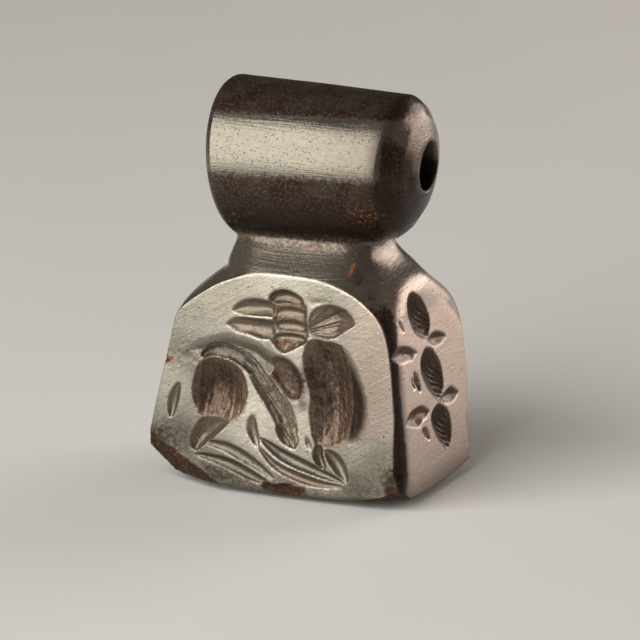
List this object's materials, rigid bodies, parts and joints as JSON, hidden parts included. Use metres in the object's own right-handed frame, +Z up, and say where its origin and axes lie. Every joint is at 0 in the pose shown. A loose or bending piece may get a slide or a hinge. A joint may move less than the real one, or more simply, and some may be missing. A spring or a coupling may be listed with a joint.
{
  "type": "amulet seal",
  "caption": "Ancient stamp seal pendant of dark polished stone: a flared block engraved with an animal and leaves, under a barrel handle drilled for a cord.",
  "frame": {"origin": "middle of the seal's footprint box, at the height of the flat it stands on", "axes": "+X along the drilled handle towards its thinner end and the leaf face, -Y towards the animal face, +Z up from the base to the handle"},
  "size_m": [0.0158, 0.0096, 0.022],
  "materials": {
    "haematite": "polished, half-metallic haematite with fine scratches and rust-brown grime in the recesses"
  },
  "bodies": {
    "root": {"amulet_seal": "haematite"}
  },
  "joints": []
}
